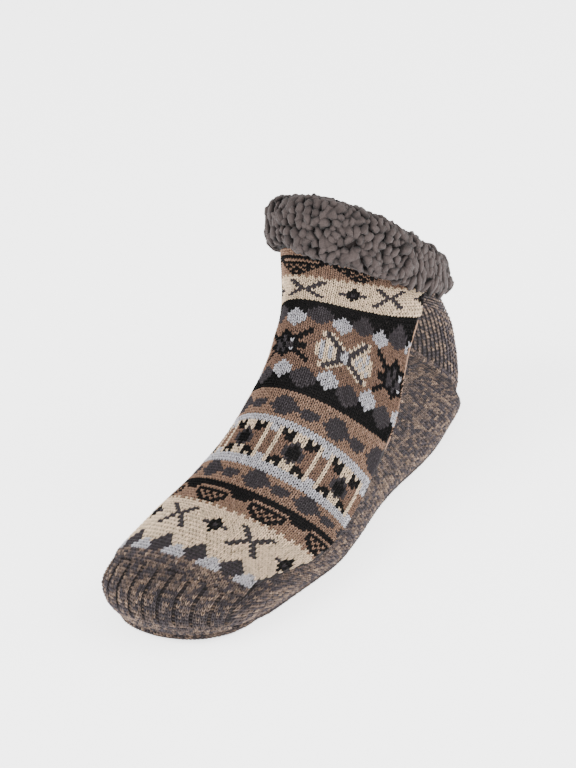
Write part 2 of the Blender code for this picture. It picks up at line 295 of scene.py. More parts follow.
# Where the courses lie: the course, and its row at the panel's outer edge, middle and inner edge
LIES = (
    (-4, 5.2, 5.95, 5.6),
    (0, 5.7, 6.5, 6.1),
    (3.5, 6.2, 6.85, 6.6),
    (12, 7.0, 7.95, 8.0),
    (21.5, 8.3, 8.95, 9.1),
    (42, 10.7, 11.4, 11.3),
    (60, 14.6, 14.2, 14.2),
    (75, 17.4, 16.9, 15.8),
    (84, 21.3, 19.5, 18.0),
    (90.5, 24.8, 22.2, 20.3),
    (97, 27.8, 24.25, 23.0),
    (102, 29.2, 26.7, 25.8),
    (111, 30.6, 30.0, 29.8),
    (114, 31.0, 30.5, 30.3),
)

# The studio
WHITE = (1, 1, 1, 1)
SOCK_MIDDLE = Vector((0, 0, 0.06))

# The photograph's view of the sock: degrees round it from the front, above it, and of tilt
AZIMUTH, ELEVATION, ROLL = 40.43, 28.83, -11.92
DISTANCE = 1.3466
AIM = Vector((0, -0.0025, 0.06))
LENS = 116.92
SHIFT = (0.0031, 0.0451)

random = np.random.RandomState(7)


def unit(vectors):
    """The vectors at a length of 1."""
    return vectors / np.linalg.norm(vectors, axis=-1, keepdims=True)


def distances(line):
    """How far along a line each of its points lies."""
    return np.concatenate([[0], np.cumsum(np.linalg.norm(np.diff(line, axis=0), axis=1))])


def between(marks, along, values):
    """The vectors at these marks, between those that lie along a line."""
    return np.stack([np.interp(marks, along, values[:, axis]) for axis in range(3)], -1)


def linear(color):
    """A daylight colour of 0 to 255 as the linear colour that shaders take."""
    share = np.array(color, float) / 255
    return np.where(share <= 0.04045, share / 12.92, ((share + 0.055) / 1.055) ** 2.4)


def opaque(color):
    """A daylight colour as a shader's own, with its alpha."""
    return (*linear(color), 1)


def lift(y):
    """How far the sole's underside stands off the ground at y: toe spring, arch and heel."""
    share = y / LENGTH
    edge, tip = SECTIONS[0].base, SECTIONS[0].crown
    toe = TOE_SPRING * max(0.0, (edge - share) / (edge - tip))
    start, end = SECTIONS[5].base, SECTIONS[8].base
    along = min(max((share - start) / (end - start), 0.0), 1.0)
    arch = ARCH * np.sin(np.pi * along) ** 2
    turn, last = SECTIONS[10].base, SECTIONS[11].base
    heel = HEEL_SPRING * min(max((share - turn) / (last - turn), 0.0), 1.0)
    return toe + arch + heel


def seat(y):
    """The height of the knit's lower edge and of the insole's underside."""
    return SOLE + GAP + lift(y)


def measured(row):
    """A row of the table at its real size."""
    half = row.ball * BALL_WIDTH / 2 + row.heel * HEEL_WIDTH / 2
    crown_y = row.crown * LENGTH
    crown_z = seat(crown_y) + row.instep * (INSTEP_HEIGHT - seat(crown_y))
    crown_z += row.shin * (FRONT_HEIGHT - INSTEP_HEIGHT)
    curve = row.curve * BALL_WIDTH / 2
    sizes = (row.base * LENGTH, row.back, crown_y, crown_z, half, curve)
    panel, turn = row.panel * PANEL_WIDTH / 2, row.turn * PANEL_WIDTH / 2
    return Section(*sizes, row.foot, row.widest, row.low, row.top, panel, turn)


def smooth_rows(rows, steps):
    """The rows with steps - 1 more between each two, on a curve that never overshoots them."""
    values = np.array(rows, float)
    rises = np.diff(values, axis=0)
    slopes = np.zeros_like(values)
    before, after = rises[:-1], rises[1:]
    together = before * after > 0
    total = np.where(together, before + after, 1)
    slopes[1:-1] = np.where(together, 2 * before * after / total, 0)
    slopes[0], slopes[-1] = rises[0], rises[-1]
    made = []
    for index in range(len(values) - 1):
        for step in range(steps):
            t = step / steps
            start = (1 + 2 * t) * (1 - t) ** 2
            made.append(
                start * values[index]
                + (1 - start) * values[index + 1]
                + t * (1 - t) ** 2 * slopes[index]
                - t * t * (1 - t) * slopes[index + 1]
            )
    made.append(values[-1])
    return [Section(*row) for row in made]


def section_line(row):
    """A section as a fine line of points, from its outer base over the crown to its inner base."""
    angle = np.linspace(0, np.pi, SECTION_STEPS + 1)
    sine, cosine = np.sin(angle), np.abs(np.cos(angle))
    below = angle < np.pi / 2
    low_side = row.foot + (1 - row.foot) * sine ** (2 / row.low)
    side = np.where(below, low_side, sine ** (2 / row.top))
    low_height = row.widest * (1 - cosine ** (2 / row.low))
    top_height = row.widest + (1 - row.widest) * cosine ** (2 / row.top)
    height = np.where(below, low_height, top_height)
    side = np.concatenate([side, -side[-2::-1]])
    height = np.concatenate([height, height[-2::-1]])
    base_z = seat(row.base_y) + row.back * (BACK_HEIGHT - seat(row.base_y))
    along = row.base_y + (row.crown_y - row.base_y) * height
    up = base_z + (row.crown_z - base_z) * height
    return np.stack([row.curve + side * row.half, along, up], 1)


class Foot:
    """The knit's outer face: rows from the toe to the collar, columns from side to side."""

    def __init__(self):
        self.rows = smooth_rows([measured(row) for row in SECTIONS], 2 * FINE_ROWS)
        lines = [section_line(row) for row in self.rows]
        lengths = np.array([distances(line) for line in lines])
        middles = lengths[:, lengths.shape[1] // 2] - [row.turn for row in self.rows]
        self.panel = np.array([row.panel for row in self.rows])
        self.outer = middles - self.panel
        self.inner = lengths[:, -1] - middles - self.panel
        columns = np.arange(LAST_COLUMN * FINE_COLUMNS + 1) / FINE_COLUMNS
        stops = (0, PANEL_START, PANEL_END, LAST_COLUMN)
        points = []
        for line, along, middle, panel in zip(lines, lengths, middles, self.panel):
            marks = np.interp(columns, stops, (0, middle - panel, middle + panel, along[-1]))
            points.append(between(marks, along, line))
        self.points = np.array(points)
        self.moved = self.shift()
        self.points += self.moved
        self.outwards = self.normals()
        self.index = np.arange(len(self.rows)) / FINE_ROWS

    def shift(self):
        """From the loft's own axes to the frame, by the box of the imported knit."""
        low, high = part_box("upper")
        coarse = self.points[::FINE_ROWS, ::FINE_COLUMNS, 0]
        return np.array([low.x - coarse.min(), high.y - LENGTH, 0])

    def normals(self):
        """The outward directions, which are one where a ring's two ends meet."""
        out = np.cross(np.gradient(self.points, axis=0), np.gradient(self.points, axis=1))
        rings = slice(SOLE_END * FINE_ROWS, None)
        out[rings, 0] = out[rings, -1] = unit(out[rings, 0]) + unit(out[rings, -1])
        return unit(out)

    def at(self, row, column, out=0.0):
        """The points at these rows and columns, moved outwards by out."""
        i = np.clip(np.asarray(row, float) * FINE_ROWS, 0, len(self.points) - 1.001)
        j = np.clip(np.asarray(column, float) * FINE_COLUMNS, 0, self.points.shape[1] - 1.001)
        i, j = np.broadcast_arrays(i, j)
        low, left = i.astype(int), j.astype(int)
        u, v = (i - low)[..., None], (j - left)[..., None]
        mixed = []
        for grid in (self.points, self.outwards):
            lower = grid[low, left] * (1 - v) + grid[low, left + 1] * v
            upper = grid[low + 1, left] * (1 - v) + grid[low + 1, left + 1] * v
            mixed.append(lower * (1 - u) + upper * u)
        point, normal = mixed
        return point + unit(normal) * np.asarray(out, float)[..., None]

    def lengths(self, column):
        """The distance along a column from the toe's edge to each row."""
        return distances(self.points[:, int(column * FINE_COLUMNS)])

    def share(self, sizes, row):
        """The size at a row, from the sizes of all rows."""
        return np.interp(row, self.index, sizes)


foot = Foot()


class Knit:
    """A knit on the foot, whose courses and wales are turned into rows and columns."""

    def points(self, course, wale, out):
        return foot.at(*self.place(course, wale), out)


def bowed(outer, middle, inner, side):
    """The row of a course at this share of the way from the panel's middle to its inner edge."""
    return middle + (inner - outer) / 2 * side + ((inner + outer) / 2 - middle) * side**2


class PanelKnit(Knit):
    """The patterned knit: courses from the toe line up, wales on both sides of its middle."""

    def __init__(self):
        self.lies = np.array(LIES, float).T

    def first_row(self, column):
        """The row of the knit's lower edge at a column."""
        return bowed(*self.lies[1:, 0], (column - MIDDLE) / (PANEL_END - MIDDLE))

    def place(self, course, wale):
        lies = [np.interp(course - PLAIN_COURSES, self.lies[0], lie) for lie in self.lies[1:]]
        row = lies[1]
        for _ in range(2):
            side = wale * WALE / foot.share(foot.panel, row)
            row = bowed(*lies, side)
        return row, MIDDLE + side * (PANEL_END - MIDDLE)


class SideKnit(Knit):
    """One side's plain marl knit: courses from the toe's edge, wales up from the sole's."""

    def __init__(self, inner):
        self.inner = inner
        self.sizes = foot.inner if inner else foot.outer
        self.along = foot.lengths(LAST_COLUMN - 5 if inner else 5)
        self.courses = int(np.interp(CUFF_LINE + 0.6, foot.index, self.along) / COURSE)

    def place(self, course, wale):
        row = np.interp(course * COURSE, self.along, foot.index)
        column = PANEL_START * wale * WALE / foot.share(self.sizes, row)
        return row, LAST_COLUMN - column if self.inner else column


class RibKnit(Knit):
    """The ribbed toe, whose ribs narrow with the toe."""

    def __init__(self):
        self.along = foot.lengths(MIDDLE)
        self.start = 0.3 * COURSE
        end = np.interp(TOE_LINE + 0.1, foot.index, self.along)
        self.courses = int((end - self.start) / COURSE)
        self.wales = RIBS * WALES_PER_RIB

    def place(self, course, wale):
        row = np.interp(self.start + course * COURSE, self.along, foot.index)
        width = (PANEL_END - PANEL_START) / self.wales
        return row, PANEL_START + wale * width


class HemKnit(Knit):
    """The knit's hem round the sole: courses along its edge, and wales down to the ground."""

    def __init__(self):
        last = SOLE_END * FINE_ROWS
        sides = foot.points[last:0:-1, 0], foot.points[0], foot.points[1 : last + 1, -1]
        line = np.concatenate(sides)
        along = distances(line)
        self.courses = int(along[-1] / COURSE)
        marks = np.linspace(0, along[-1], self.courses * 2)
        self.line = between(marks, along, line)
        for _ in range(12):
            self.line += (np.roll(self.line, 1, 0) + np.roll(self.line, -1, 0)) / 4 - self.line / 2
        way = np.roll(self.line, -1, 0) - np.roll(self.line, 1, 0)
        self.away = unit(np.stack([-way[:, 1], way[:, 0], np.zeros(len(way))], 1))
        self.marks = np.arange(len(marks)) / 2

    def points(self, course, wale, out):
        away = between(course, self.marks, self.away)
        point = between(course, self.marks, self.line) + away * (HEM_OUT + out)[..., None]
        point[..., 2] += HEM_TOP - wale * HEM_WALE
        return point


class Socket:
    """A number in a shader, which sums can be written with."""

    def __init__(self, finish, socket):
        self.finish = finish
        self.socket = socket

    def math(self, operation, *values):
        made = self.finish.node("ShaderNodeMath", dict(enumerate(values)), operation=operation)
        return self.finish.out(made)

    def __add__(self, other):
        return self.math("ADD", self, other)

    __radd__ = __add__

    def __sub__(self, other):
        return self.math("SUBTRACT", self, other)

    def __mul__(self, other):
        return self.math("MULTIPLY", self, other)

    __rmul__ = __mul__


class Finish:
    """A material whose Principled shader is set by its sockets' names."""

    def __init__(self, name, **constants):
        self.material = bpy.data.materials.new(name)
        self.material.use_nodes = True
        self.tree = self.material.node_tree
        self.shader = self.tree.nodes["Principled BSDF"]
        for socket, value in constants.items():
            self.shader.inputs[socket.replace("_", " ")].default_value = value

    def node(self, kind, sockets, **settings):
        made = self.tree.nodes.new(kind)
        for name, value in settings.items():
            setattr(made, name, value)
        for name, value in sockets.items():
            if isinstance(value, Socket):
                self.tree.links.new(value.socket, made.inputs[name])
            else:
                made.inputs[name].default_value = value
        return made

    def out(self, node, name=0):
        return Socket(self, node.outputs[name])

    def attribute(self, name, output):
        return self.out(self.node("ShaderNodeAttribute", {}, attribute_name=name), output)

    def split(self, vector):
        made = self.node("ShaderNodeSeparateXYZ", {0: vector})
        return [self.out(made, axis) for axis in range(3)]

    def noise(self, size, detail=2.0):
        """Smooth noise from 0 to 1, whose lumps are about size across."""
        place = self.out(self.node("ShaderNodeTexCoord", {}), "Object")
        sockets = {"Vector": place, "Scale": 1 / size, "Detail": detail}
        return self.out(self.node("ShaderNodeTexNoise", sockets), "Fac")

    def scaled(self, color, share):
        sockets = {0: color, "Scale": share}
        return self.out(self.node("ShaderNodeVectorMath", sockets, operation="SCALE"))

    def mixed(self, share, first, second):
        sockets = {0: share, "A": first, "B": second}
        return self.out(self.node("ShaderNodeMix", sockets, data_type="RGBA"), "Result")

    def bump(self, height, distance):
        made = self.node("ShaderNodeBump", {"Height": height, "Distance": distance})
        self.tree.links.new(made.outputs[0], self.shader.inputs["Normal"])

    def base_color(self, color):
        self.tree.links.new(color.socket, self.shader.inputs["Base Color"])


def yarn_finish(name, sheen):
    """Twisted yarn: its two plies wind round each other, and its fibres roughen it."""
    finish = Finish(
        name, Roughness=0.95, Specular_IOR_Level=0.15, Sheen_Weight=sheen, Sheen_Roughness=0.5
    )
    side, front, along = finish.split(finish.attribute("ply", "Vector"))
    turn = along * 6.5
    twist = front * turn.math("COSINE", turn) - side * turn.math("SINE", turn)
    fibre = finish.noise(0.0005, 3)
    tone = 0.84 + 0.12 * twist + 0.34 * (fibre - 0.5) + 0.3 * (finish.noise(0.006) - 0.5)
    # The yarn attribute holds the yarns' own colours with painted shade in them: at the stitches'
    # low ends, in the grooves and on the hem
    finish.base_color(finish.scaled(finish.attribute("yarn", "Color"), tone))
    finish.bump(0.6 * twist + 0.8 * fibre, 0.0003)
    return finish.material


def ground_finish():
    """Painted shade in the depth between the stitches: a near-black sheet, a little mottled."""
    finish = Finish("knit ground painted shade", Roughness=1.0)
    shade = finish.noise(0.004)
    finish.base_color(finish.mixed(shade, opaque(GROUND_PAINTED_SHADE_DARK), opaque(GROUND_PAINTED_SHADE_LIGHT)))
    finish.bump(finish.noise(0.0012), 0.0004)
    return finish.material


def pile_finish(name, light, dark):
    """Curly pile: painted shade darkens it between its curls, and it is fuzzy all over."""
    finish = Finish(
        name, Roughness=0.95, Specular_IOR_Level=0.1, Sheen_Weight=0.08, Sheen_Roughness=0.6
    )
    # The curl attribute is painted shade: the curls' low parts take the dark colour
    painted_shade = finish.attribute("curl", "Fac")
    fuzz = 0.5 * finish.noise(0.0009, 3) + 0.5 * finish.noise(0.0022, 2)
    color = finish.mixed(painted_shade, opaque(dark), opaque(light))
    tone = 1 + 0.4 * (fuzz - 0.5) + 0.5 * (finish.noise(0.012) - 0.5)
    finish.base_color(finish.scaled(color, tone))
    finish.bump(fuzz, 0.0014)
    return finish.material


def plain_finish(name, color, grain, relief):
    """Plain matt cloth or yarn, a little speckled."""
    finish = Finish(name, Roughness=0.95, Specular_IOR_Level=0.15, Sheen_Weight=0.05)
    speckle = finish.noise(grain, 3)
    finish.base_color(finish.scaled(linear(color), 0.7 + 0.6 * speckle))
    finish.bump(speckle, relief)
    return finish.material


def deselect_all():
    for obj in bpy.context.selected_objects:
        obj.select_set(False)


def choose(obj):
    """Makes this the one selected object."""
    deselect_all()
    bpy.context.view_layer.objects.active = obj
    obj.select_set(True)


def linked(name, data):
    """A new object of the scene, with this mesh, curve, light or camera."""
    obj = bpy.data.objects.new(name, data)
    bpy.context.scene.collection.objects.link(obj)
    return obj


def taken_apart(obj):
    """The points and faces of an object, which is then removed."""
    mesh = obj.data
    points = np.array([list(vert.co) for vert in mesh.vertices])
    faces = np.array([list(face.vertices) for face in mesh.polygons])
    bpy.data.objects.remove(obj)
    bpy.data.meshes.remove(mesh)
    return points, faces


def spindle():
    """A loop of yarn before it is bent: a ball of four sides, along Z, its faces in order."""
    deselect_all()
    bpy.ops.mesh.primitive_uv_sphere_add(segments=4, ring_count=4, radius=1)
    bpy.ops.object.mode_set(mode="EDIT")
    bpy.ops.mesh.quads_convert_to_tris()
    bpy.ops.object.mode_set(mode="OBJECT")
    points, faces = taken_apart(bpy.context.object)
    return points, np.array(sorted(np.roll(face, -face.argmin()).tolist() for face in faces))


# A bent loop of yarn: points as (wales, courses, outwards in yarn radii), its faces, and the
# place of each point on the yarn
Loop = namedtuple("Loop", "points faces ply")


def bent(line, spread, width, mirrored=False):
    """The spindle bent along a line of (wales, courses, out), which takes a place from -1 to 1."""
    ball, faces = spindle()
    around = ball[:, :2]
    along = np.sign(ball[:, 2]) * np.abs(ball[:, 2]) ** 0.85
    middle = np.stack(line(along), 1)
    points = middle.copy()
    points[:, 0] += around[:, 0] * width * spread[0]
    points[:, 1] += around[:, 0] * width * spread[1]
    points[:, 2] += around[:, 1]
    ply = np.stack([around[:, 0], around[:, 1], along], 1)
    if mirrored:
        points[:, 0] *= -1
        faces = faces[:, ::-1]
        ply[:, 2] *= -1
    return Loop(points, faces, ply)


def joined(*loops):
    """Several loops as one."""
    starts = np.cumsum([0] + [len(loop.points) for loop in loops[:-1]])
    faces = np.concatenate([loop.faces + start for loop, start in zip(loops, starts)])
    points = np.concatenate([loop.points for loop in loops])
    return Loop(points, faces, np.concatenate([loop.ply for loop in loops]))


def knit_stitch():
    """The V of a knit stitch: two legs that lean apart and dip in at both ends."""

    def leg(t):
        return 0.26 + 0.18 * t, 0.72 * t, 1.7 * (1 - t * t) - 1.4

    return joined(bent(leg, (1, -0.2), 0.165), bent(leg, (1, -0.2), 0.165, mirrored=True))


def purl_stitch():
    """The bump of a purl stitch: one loop that lies across the wale."""

    def bow(t):
        return 0.60 * t, 0.30 * (1 - t * t) - 0.12, 0.9 * (1 - t * t) - 0.6

    return joined(bent(bow, (0, -1), 0.32))


def mesh_piece(name, points, faces, finish):
    """An object at the origin with these points and faces."""
    mesh = bpy.data.meshes.new(name)
    mesh.from_pydata(points.tolist(), [], faces.tolist())
    mesh.validate()
    mesh.shade_smooth()
    mesh.materials.append(finish)
    return linked(name, mesh)


def add_attribute(obj, name, kind, field, values):
    """Gives each point of a mesh its own value of this name."""
    made = obj.data.attributes.new(name, kind, "POINT")
    made.data.foreach_set(field, np.asarray(values, np.float32).ravel())


def knitted(name, knit, loop, courses, wales, colors, finish, rise=0.0, slack=0.06):
    """One stitch at each course and wale, laid on the foot, as one piece."""
    count, size = len(courses), len(loop.points)
    wobble = random.normal(0, slack, (count, 3))
    course = courses[:, None] + loop.points[:, 1] + wobble[:, :1]
    wale = wales[:, None] + loop.points[:, 0] + 0.5 * wobble[:, 1:2]
    out = np.reshape(rise, (-1, 1)) + YARN * (loop.points[:, 2] + 2 * wobble[:, 2:])
    points = knit.points(course, wale, out).reshape(-1, 3)
    faces = (loop.faces + size * np.arange(count)[:, None, None]).reshape(-1, 3)
    piece = mesh_piece(name, points, faces, finish)
    # Painted shade: each stitch darkens towards its low ends, where it dips between its neighbours
    painted_shade = np.interp(loop.points[:, 2], (-2.2, 1.0), (0.4, 1.1))
    shade = colors[:, None, :] * painted_shade[None, :, None]
    shade *= 1 + random.normal(0, 0.15, (count, 1, 1)) * np.sign(loop.points[:, 0])[None, :, None]
    shade = np.concatenate([shade.reshape(-1, 3), np.ones((count * size, 1))], 1)
    add_attribute(piece, "yarn", "FLOAT_COLOR", "color", shade)
    add_attribute(piece, "ply", "FLOAT_VECTOR", "vector", np.tile(loop.ply, (count, 1)))
    return piece


def knitted_parts(parts, knit, courses, wales, colors, finish, rise, slack=0.06):
    """A piece for each part, which is a name, its share of the stitches and their shape."""
    return [
        knitted(
            name, knit, loop, courses[part] + 0.5, wales[part], colors[part], finish,
            rise=rise[part], slack=slack,
        )
        for name, part, loop in parts
    ]


def soft_noise(places, seed):
    """Smooth noise from 0 to 1 along a line of places."""
    table = np.random.RandomState(seed).rand(4096)
    low = np.floor(places).astype(int)
    share = places - low
    share = share * share * (3 - 2 * share)
    return table[low % 4096] * (1 - share) + table[(low + 1) % 4096] * share


def marl_colors(courses, wales):
    """Marled yarn: its tan ply shows in short streaks along each course."""
    starts = np.random.RandomState(3).rand(400) * 900
    place = wales * 0.7 + starts[courses.astype(int) % 400]
    streak = 0.5 * soft_noise(place, 1) + 0.5 * soft_noise(place * 2.3, 2)
    broad = soft_noise(courses * 0.25 + 40, 5) * soft_noise(wales * 0.2 + 90, 6)
    share = 0.22 + 1.7 * (streak - 0.5) + 0.4 * (broad - 0.25)
    share = np.clip(share + random.normal(0, 0.24, len(share)), 0, 1)
    tone = 1 + random.normal(0, 0.13, len(share))
    mix = linear(MARL_DARK) * (1 - share[:, None]) + linear(MARL_TAN) * share[:, None]
    return mix * np.clip(tone, 0.65, 1.4)[:, None]


def charted(course, wale):
    """The chart's letter for a stitch of the panel."""
    left = COURSES - 1 - course
    for band in BANDS:
        if left < len(band.lines):
            line = band.lines[left]
            return line[int(round(wale - band.at / 1000 / WALE) + band.middle) % len(line)]
        left -= len(band.lines)


def grid_of(courses, wales):
    """Every course with every wale, as two flat lists."""
    one, other = np.meshgrid(courses, wales, indexing="ij")
    return one.ravel(), other.ravel()


def make_panel(finish):
    """The patterned panel over the instep, in two pieces."""
    knit = PanelKnit()
    half = int(PANEL_WIDTH * 1.2 / WALE / 2)
    courses, wales = grid_of(np.arange(COURSES), np.arange(-half, half + 1))
    row, column = knit.place(courses + 0.5, wales)
    inside = np.abs(column - MIDDLE) < (PANEL_END - MIDDLE) - 0.12
    courses, wales, row = courses[inside], wales[inside], row[inside]
    rise = (GAP + PANEL) * np.clip((row - TOE_LINE + 0.5) / 0.6, 0.2, 1)
    letters = [charted(course, wale) for course, wale in zip(courses, wales)]
    colors = np.array([linear(YARNS.get(letter, MARL_DARK)) for letter in letters])
    colors *= np.clip(1 + random.normal(0, 0.07, len(colors)), 0.75, 1.3)[:, None]
    marl = np.array(letters) == "m"
    colors[marl] = marl_colors(courses[marl], wales[marl])
    front = courses < COURSES // 2
    parts = (
        ("panel_stitches_front", front, knit_stitch()),
        ("panel_stitches_ankle", ~front, knit_stitch()),
    )
    return knitted_parts(parts, knit, courses, wales, colors, finish, rise)


def make_side(inner, finish):
    """The marl knit of one side, from the sole's edge up to the panel, with its ribbed shaft."""
    knit = SideKnit(inner)
    most = int(max(knit.sizes) / WALE) + 1
    courses, wales = grid_of(np.arange(knit.courses), np.arange(most))
    row, _ = knit.place(courses + 0.5, wales + 0.5)
    room = foot.share(knit.sizes, row) / WALE
    inside = (wales + 0.5 < room - 0.2) & (row > 0.6)
    courses, wales, row = courses[inside], wales[inside], row[inside]
    colors = marl_colors(courses + 57 * inner, wales)
    sunk = (row > SHAFT_RIBS) & (wales % 2 == 1) & (row < WELT)
    welt = row >= WELT
    rise = np.where(sunk, -SHAFT_GROOVE, np.where(row > SHAFT_RIBS, SHAFT_RIB, 0.0))
    # Painted shade: the sunk groove stitches are darkened
    colors[sunk] *= SHAFT_GROOVE_SHADE
    side = "inner" if inner else "outer"
    low = row < HEEL_START
    parts = (
        (side + "_foot_stitches", low, knit_stitch()),
        (side + "_heel_stitches", ~low & ~sunk & ~welt, knit_stitch()),
        (side + "_shaft_stitches", sunk | welt, purl_stitch()),
    )
    return knitted_parts(parts, knit, courses, wales + 0.5, colors, finish, rise, slack=0.08)


def make_hem(finish):
    """The knit's hem, which turns down over the sole's edge."""
    knit = HemKnit()
    courses, wales = grid_of(np.arange(knit.courses), np.arange(HEM_WALES))
    # Painted shade: the hem, turned down under the foot's edge, is darkened
    colors = marl_colors(courses, wales + 31) * 0.85
    places = courses + 0.5, wales + 0.5
    return knitted("hem_stitches", knit, knit_stitch(), *places, colors, finish, slack=0.05)


def make_ribs(finish):
    """The ribbed toe: four knit wales stand up on each rib, and a purl wale sinks between two."""
    knit = RibKnit()
    courses, wales = grid_of(np.arange(knit.courses), np.arange(knit.wales))
    row, column = knit.place(courses + 0.5, wales + 0.5)
    end_row = PanelKnit().first_row(column)
    inside = row < end_row
    courses, wales, row, end_row = (values[inside] for values in (courses, wales, row, end_row))
    start = np.clip((courses - MARGIN_COURSES) / 3, 0, 1)
    end = np.clip((end_row - row) / 0.8, 0, 1)
    ribbed = start * (0.2 + 0.8 * end)
    purl = (wales % WALES_PER_RIB == 0) & (ribbed > 0.3)
    place = (wales + 0.5) / WALES_PER_RIB
    round_rib = np.clip(np.sin(np.pi * (place % 1 - 0.08) / 0.92), 0, 1) ** 0.6
    rise = RIB_HEIGHT * (0.35 + ribbed * (0.95 * round_rib - 0.5))
    rise -= np.where(purl, TOE_GROOVE * ribbed, 0)
    colors = marl_colors(courses + 11, wales)
    # Painted shade: the sunk purl grooves between the ribs are darkened
    colors[purl] *= TOE_GROOVE_SHADE
    parts = (
        ("toe_rib_stitches", ~purl, knit_stitch()),
        ("toe_groove_stitches", purl, purl_stitch()),
    )
    return knitted_parts(parts, knit, courses, wales + 0.5, colors, finish, rise, slack=0.07)


def sheet_mesh(grid, closed_from):
    """A sheet over a grid of points, facing outwards. Rows from closed_from on are rings."""
    sheet = bmesh.new()
    verts = []
    for index, row in enumerate(grid):
        made = [sheet.verts.new(point) for point in row]
        if index >= closed_from:
            sheet.verts.remove(made[-1])
            made[-1] = made[0]
        verts.append(made)
    for lower, upper in pairwise(verts):
        for column in range(len(lower) - 1):
            corners = lower[column], upper[column], upper[column + 1], lower[column + 1]
            sheet.faces.new(corners)
    return sheet


def shell(name, grid, closed_from, thickness, side, finishes):
    """A closed wall on a grid of points. Its inner face and rim take the last finish."""
    sheet = sheet_mesh(grid, closed_from)
    mesh = bpy.data.meshes.new(name)
    sheet.to_mesh(mesh)
    sheet.free()
    for finish in finishes:
        mesh.materials.append(finish)
    mesh.shade_smooth()
    obj = linked(name, mesh)
    wall = obj.modifiers.new("wall", "SOLIDIFY")
    wall.thickness = thickness
    wall.offset = side
    wall.material_offset = len(finishes) - 1
    wall.material_offset_rim = len(finishes) - 1
    choose(obj)
    bpy.ops.object.modifier_apply(modifier=wall.name)
    return obj


def make_grounds(ground, lining):
    """The near-black sheet of painted shade behind the stitches: the whole foot, and the panel's
    own layer.
    """
    rows = np.arange(0, COLLAR * 2 + 1) / 2
    columns = np.arange(0, LAST_COLUMN * 2 + 1) / 2
    grid = foot.at(rows[:, None], columns, -GROUND_SINK)
    body = shell("knit_ground_painted_shade", grid, SOLE_END * 2, WALL - GROUND_SINK, -1, (ground, lining))
    rows = np.arange(TOE_LINE * 2, (CUFF_LINE + 1) * 2 + 1) / 2
    columns = np.arange(PANEL_START * 2, PANEL_END * 2 + 1) / 2
    grid = foot.at(rows[:, None], columns, GAP)
    panel = shell("panel_ground_painted_shade", grid, len(rows), PANEL - GROUND_SINK, 1, (ground,))
    return body, panel


def tube_along(name, points, radius, finish):
    """A round cord through these points, as a mesh."""
    curve = bpy.data.curves.new(name, "CURVE")
    curve.dimensions = "3D"
    spline = curve.splines.new("POLY")
    spline.points.add(len(points) - 1)
    for point, place in zip(spline.points, points):
        point.co = (*place, 1)
    curve.bevel_depth = radius
    curve.bevel_resolution = 2
    curve.use_fill_caps = True
    choose(linked(name, curve))
    bpy.ops.object.convert(target="MESH")
    obj = bpy.context.object
    obj.data.materials.clear()
    obj.data.materials.append(finish)
    obj.data.shade_smooth()
    return obj


def make_seams(tan, dark):
    """The rolled edge and the dark seam beside it, along both sides of the panel."""
    pieces = []
    for name, edge, way in (("outer", PANEL_START, 1), ("inner", PANEL_END, -1)):
        rows = np.linspace(TOE_LINE - 0.3, CUFF_LINE + 0.4, 260)
        size = foot.share(foot.outer if way > 0 else foot.inner, rows)
        outset = edge - way * SEAM_RADIUS / size * PANEL_START
        line = foot.at(rows, outset, SEAM_OUT)
        pieces.append(tube_along(name + "_seam", line, SEAM_RADIUS, dark))
        rows = np.linspace(*ROLL_ROWS, 150)
        inset = edge + way * 0.0002 / foot.share(foot.panel, rows) * (PANEL_END - MIDDLE)
        fade = np.clip(np.minimum(rows - rows[0], rows[-1] - rows), 0, 1)
        roll = foot.at(rows, inset, ROLL_OUT + ROLL_RISE * fade)
        pieces.append(tube_along(name + "_rolled_edge", roll, ROLL_RADIUS, tan))
    return pieces


# The cuff's section as a loop, as in the part's own source, without its curls
Point = namedtuple("Point", "down up out inside curl")
CUFF_SECTION = [Point(*values) for values in (
    (1.00, 0, 0, None, 0),
    (1.07, 0, 0.50, None, 0.3),
    (0.97, 0, 0.88, None, 1),
    (0.79, 0, 1.00, None, 1),
    (0.60, 0, 1.02, None, 1),
    (0.41, 0, 1.02, None, 1),
    (0.22, 0, 1.00, None, 1),
    (0.04, 0, 0.94, None, 1),
    (0, 0.62, 0.70, None, 1),
    (0, 1.00, 0.20, None, 1),
    (0, 0.90, None, 0.30, 1),
    (0, 0.35, None, 0.80, 0.8),
    (0.25, 0, None, 1.00, 0.8),
    (0.50, 0, None, 0.85, 0.3),
    (0.50, 0, None, 0, 0),
    (0, GAP / CUFF_RIM, None, 0, 0),
    (0, GAP / CUFF_RIM, 0, None, 0),
    (0.50, 0, 0, None, 0),
)]

# How low the cuff hangs round the collar: the share of the way round, and of the way down
CUFF_DROP = (
    (0, 1.1), (0.12, 1.2), (0.22, 1.28), (0.40, 1.28), (0.44, 1.12),
    (0.50, 1), (0.55, 0.66), (0.68, 0.66), (0.85, 0.9), (1, 1.1),
)


def cuff_ring(point, columns):
    """One ring of the cuff, round the collar."""
    drop = np.interp(columns / LAST_COLUMN, *zip(*CUFF_DROP)) if point.inside is None else 1
    row = COLLAR - point.down * drop * (COLLAR - CUFF_LINE)
    face = foot.at(row, columns)
    out = foot.at(row, columns, 1.0) - face
    upwards = unit(foot.at(COLLAR, columns) - foot.at(CUFF_LINE, columns))
    if point.out is not None:
        stand_off = PANEL + 2 * GAP
        offset = stand_off + point.out * (CUFF - stand_off)
    else:
        offset = -WALL - GAP - point.inside * (CUFF_LINING - GAP)
    return face + upwards * point.up * CUFF_RIM + out * offset


